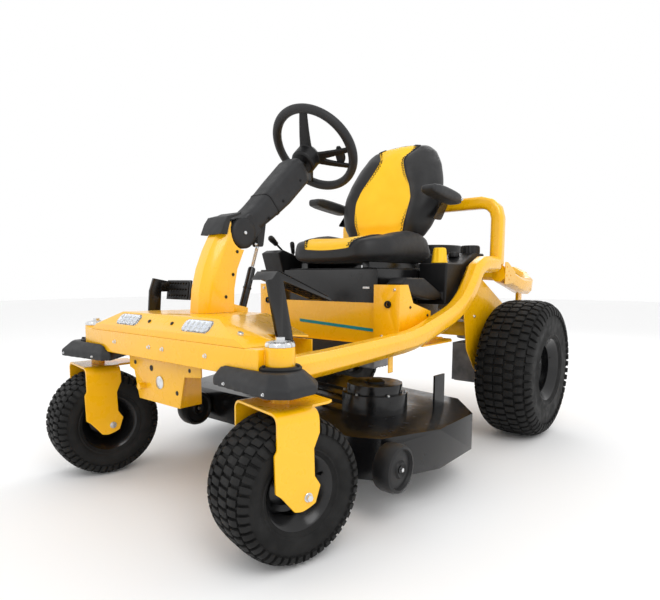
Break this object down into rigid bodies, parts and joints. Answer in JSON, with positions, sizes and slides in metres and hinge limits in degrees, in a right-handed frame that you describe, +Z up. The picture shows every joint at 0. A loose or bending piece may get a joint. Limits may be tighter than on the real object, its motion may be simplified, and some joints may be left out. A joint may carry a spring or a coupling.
{
  "type": "riding lawn mower",
  "caption": "Steering-wheel zero-turn riding mower with caster front forks, tilting column, sprung pedals, tipping seat, side-discharge deck and rear engine.",
  "frame": {"origin": "on the ground under the middle of the machine's bounding box", "axes": "+Z up, front towards -Y, operator's left towards +X"},
  "size_m": [1.091, 1.7859, 1.1189],
  "materials": {
    "yellow_paint": "glossy yellow paint",
    "black_paint": "glossy black paint",
    "grey_plastic": "textured dark grey moulding",
    "black_plastic": "matte black moulding",
    "yellow_plastic": "glossy yellow moulding",
    "tyre": "matte tyre rubber",
    "rubber": "matte rubber",
    "steel": "bare bright steel",
    "casting": "dull casting",
    "vinyl": "textured vinyl over foam",
    "lens": "clear lamp lens"
  },
  "bodies": {
    "chassis": {"front_beam": "yellow_paint", "beam_cover": "yellow_paint", "headlight_left": "lens", "headlight_right": "lens", "front_bracket": "yellow_paint", "corner_guard_left": "grey_plastic", "corner_guard_right": "grey_plastic", "pedestal": "yellow_paint", "pedestal_cap": "grey_plastic", "frame_rail_left": "yellow_paint", "frame_rail_right": "yellow_paint", "rear_hoop": "yellow_paint", "rear_bumper": "yellow_paint", "rear_frame": "yellow_paint", "floor_pan": "yellow_paint", "foot_mat": "rubber", "seat_frame": "yellow_paint", "seat_box": "black_paint", "console_left": "black_plastic", "console_right": "black_plastic", "engine_block": "casting", "engine_shroud": "black_plastic", "muffler": "steel", "transaxle_left": "casting", "transaxle_right": "casting"},
    "fork_left": {"fork_left": "yellow_paint", "swivel_cap_left": "steel"},
    "front_wheel_left": {"front_rim_left": "black_paint", "front_tyre_left": "tyre"},
    "rear_wheel_left": {"rear_rim_left": "black_paint", "rear_tyre_left": "tyre"},
    "armrest_left": {"armrest_left": "grey_plastic"},
    "spindle_left": {"spindle_left": "casting"},
    "scalp_wheel_left": {"scalp_wheel_left": "black_plastic"},
    "fork_right": {"fork_right": "yellow_paint", "swivel_cap_right": "steel"},
    "front_wheel_right": {"front_rim_right": "black_paint", "front_tyre_right": "tyre"},
    "rear_wheel_right": {"rear_rim_right": "black_paint", "rear_tyre_right": "tyre"},
    "armrest_right": {"armrest_right": "grey_plastic"},
    "spindle_right": {"spindle_right": "casting"},
    "scalp_wheel_right": {"scalp_wheel_right": "black_plastic"},
    "column": {"column_shroud": "grey_plastic"},
    "steering_wheel": {"steering_wheel": "black_plastic"},
    "strut_cylinder": {"strut_cylinder": "black_paint"},
    "strut_rod": {"strut_rod": "steel"},
    "seat_plate": {"seat_plate": "black_paint"},
    "brake_pedal": {"brake_pedal": "black_paint"},
    "drive_pedal": {"drive_pedal": "black_paint"},
    "chute_flap": {"chute_flap": "black_plastic"},
    "crank_pulley": {"crank_pulley": "casting"},
    "lift_lever": {"lift_lever": "black_plastic"},
    "throttle_lever": {"throttle_lever": "black_plastic"},
    "clutch_knob": {"clutch_knob": "yellow_plastic"},
    "fuel_cap": {"fuel_cap": "black_plastic"},
    "seat": {"seat_cushion": "vinyl", "seat_back": "vinyl"},
    "deck": {"deck_shell": "black_paint", "deck_belt": "rubber"}
  },
  "joints": [
    {"name": "steering_turn", "type": "hinge", "parent": "column", "child": "steering_wheel", "pos_m": [0, -0.1817, 1.0041], "axis": [0, 0.7266, 0.6871], "range_deg": [-300, 420]},
    {"name": "fork_swivel_left", "type": "hinge", "parent": "chassis", "child": "fork_left", "pos_m": [0.3908, -0.7391, 0.39], "axis": [0, 0, 1], "range_deg": [-62, 86]},
    {"name": "front_spin_left", "type": "hinge", "parent": "fork_left", "child": "front_wheel_left", "pos_m": [0.3929, -0.73035, 0.156], "axis": [0.9724, -0.2334, 0], "continuous": true},
    {"name": "rear_spin_left", "type": "hinge", "parent": "chassis", "child": "rear_wheel_left", "pos_m": [0.4475, 0.5214, 0.254], "axis": [1, 0, 0], "continuous": true},
    {"name": "fork_swivel_right", "type": "hinge", "parent": "chassis", "child": "fork_right", "pos_m": [-0.3908, -0.7391, 0.39], "axis": [0, 0, 1], "range_deg": [-62, 86]},
    {"name": "front_spin_right", "type": "hinge", "parent": "fork_right", "child": "front_wheel_right", "pos_m": [-0.38925, -0.73023, 0.156], "axis": [0.9851, -0.1719, 0], "continuous": true},
    {"name": "rear_spin_right", "type": "hinge", "parent": "chassis", "child": "rear_wheel_right", "pos_m": [-0.4475, 0.5214, 0.254], "axis": [1, 0, 0], "continuous": true},
    {"name": "column_tilt", "type": "hinge", "parent": "chassis", "child": "column", "pos_m": [0, -0.52015, 0.71433], "axis": [1, 0, 0], "range_deg": [-10, 14]},
    {"name": "strut_pivot", "type": "hinge", "parent": "chassis", "child": "strut_cylinder", "pos_m": [0, -0.5011, 0.494], "axis": [1, 0, 0], "range_deg": [-1, 1]},
    {"name": "strut_slide", "type": "slide", "parent": "strut_cylinder", "child": "strut_rod", "axis": [0, 0.3235, 0.9462], "range_m": [-0.017, 0.024]},
    {"name": "seat_tip", "type": "hinge", "parent": "chassis", "child": "seat_plate", "pos_m": [0, -0.0991, 0.622], "axis": [1, 0, 0], "range_deg": [0, 25]},
    {"name": "seat_slide", "type": "slide", "parent": "seat_plate", "child": "seat", "axis": [0, 1, 0], "range_m": [-0.05, 0.05]},
    {"name": "armrest_lift_left", "type": "hinge", "parent": "seat", "child": "armrest_left", "pos_m": [0.252, 0.3109, 0.872], "axis": [-1, 0, 0], "range_deg": [0, 80]},
    {"name": "armrest_lift_right", "type": "hinge", "parent": "seat", "child": "armrest_right", "pos_m": [-0.252, 0.3109, 0.872], "axis": [-1, 0, 0], "range_deg": [0, 80]},
    {"name": "brake_press", "type": "hinge", "parent": "chassis", "child": "brake_pedal", "pos_m": [0.3, -0.6271, 0.436], "axis": [1, 0, 0], "range_deg": [0, 18], "stiffness_Nm_per_rad": 10, "springref_deg": -20.05},
    {"name": "drive_press", "type": "hinge", "parent": "chassis", "child": "drive_pedal", "pos_m": [-0.3, -0.6011, 0.452], "axis": [1, 0, 0], "range_deg": [0, 20], "stiffness_Nm_per_rad": 10, "springref_deg": -20.05},
    {"name": "deck_lift", "type": "slide", "parent": "chassis", "child": "deck", "axis": [0, 0, 1], "range_m": [-0.005, 0.035]},
    {"name": "lift_lever_turn", "type": "hinge", "parent": "chassis", "child": "lift_lever", "pos_m": [-0.3, 0.0909, 0.615], "axis": [-1, 0, 0], "range_deg": [-6, 36]},
    {"name": "throttle_turn", "type": "hinge", "parent": "chassis", "child": "throttle_lever", "pos_m": [-0.262, 0.0059, 0.612], "axis": [1, 0, 0], "range_deg": [-12, 12]},
    {"name": "clutch_pull", "type": "slide", "parent": "chassis", "child": "clutch_knob", "axis": [0, 0, 1], "range_m": [0, 0.012]},
    {"name": "fuel_cap_turn", "type": "hinge", "parent": "chassis", "child": "fuel_cap", "pos_m": [0.275, 0.3959, 0.69], "axis": [0, 0, 1], "range_deg": [0, 90]},
    {"name": "crank_turn", "type": "hinge", "parent": "chassis", "child": "crank_pulley", "pos_m": [0, 0.5659, 0.415], "axis": [0, 0, 1], "continuous": true},
    {"name": "spindle_spin_left", "type": "hinge", "parent": "deck", "child": "spindle_left", "pos_m": [0.275, -0.2241, 0.2], "axis": [0, 0, 1], "continuous": true},
    {"name": "spindle_spin_right", "type": "hinge", "parent": "deck", "child": "spindle_right", "pos_m": [-0.275, -0.1341, 0.2], "axis": [0, 0, 1], "continuous": true},
    {"name": "scalp_spin_left", "type": "hinge", "parent": "deck", "child": "scalp_wheel_left", "pos_m": [0.5075, -0.4841, 0.15], "axis": [1, 0, 0], "continuous": true},
    {"name": "scalp_spin_right", "type": "hinge", "parent": "deck", "child": "scalp_wheel_right", "pos_m": [-0.319, -0.4391, 0.15], "axis": [1, 0, 0], "continuous": true},
    {"name": "chute_swing", "type": "hinge", "parent": "deck", "child": "chute_flap", "pos_m": [-0.5345, -0.0891, 0.19], "axis": [0, 1, 0], "range_deg": [0, 70]}
  ],
  "couplings": [
    {"joint": "fork_swivel_left", "follows": "steering_turn", "ratio": 0.2},
    {"joint": "fork_swivel_right", "follows": "steering_turn", "ratio": 0.2},
    {"joint": "strut_pivot", "follows": "column_tilt", "ratio": 0.0233},
    {"joint": "strut_slide", "follows": "column_tilt", "m_per_rad": 0.0893},
    {"joint": "lift_lever_turn", "follows": "deck_lift", "rad_per_m": 17.5},
    {"joint": "spindle_spin_left", "follows": "crank_turn", "ratio": 1.094},
    {"joint": "spindle_spin_right", "follows": "crank_turn", "ratio": 1.094}
  ]
}
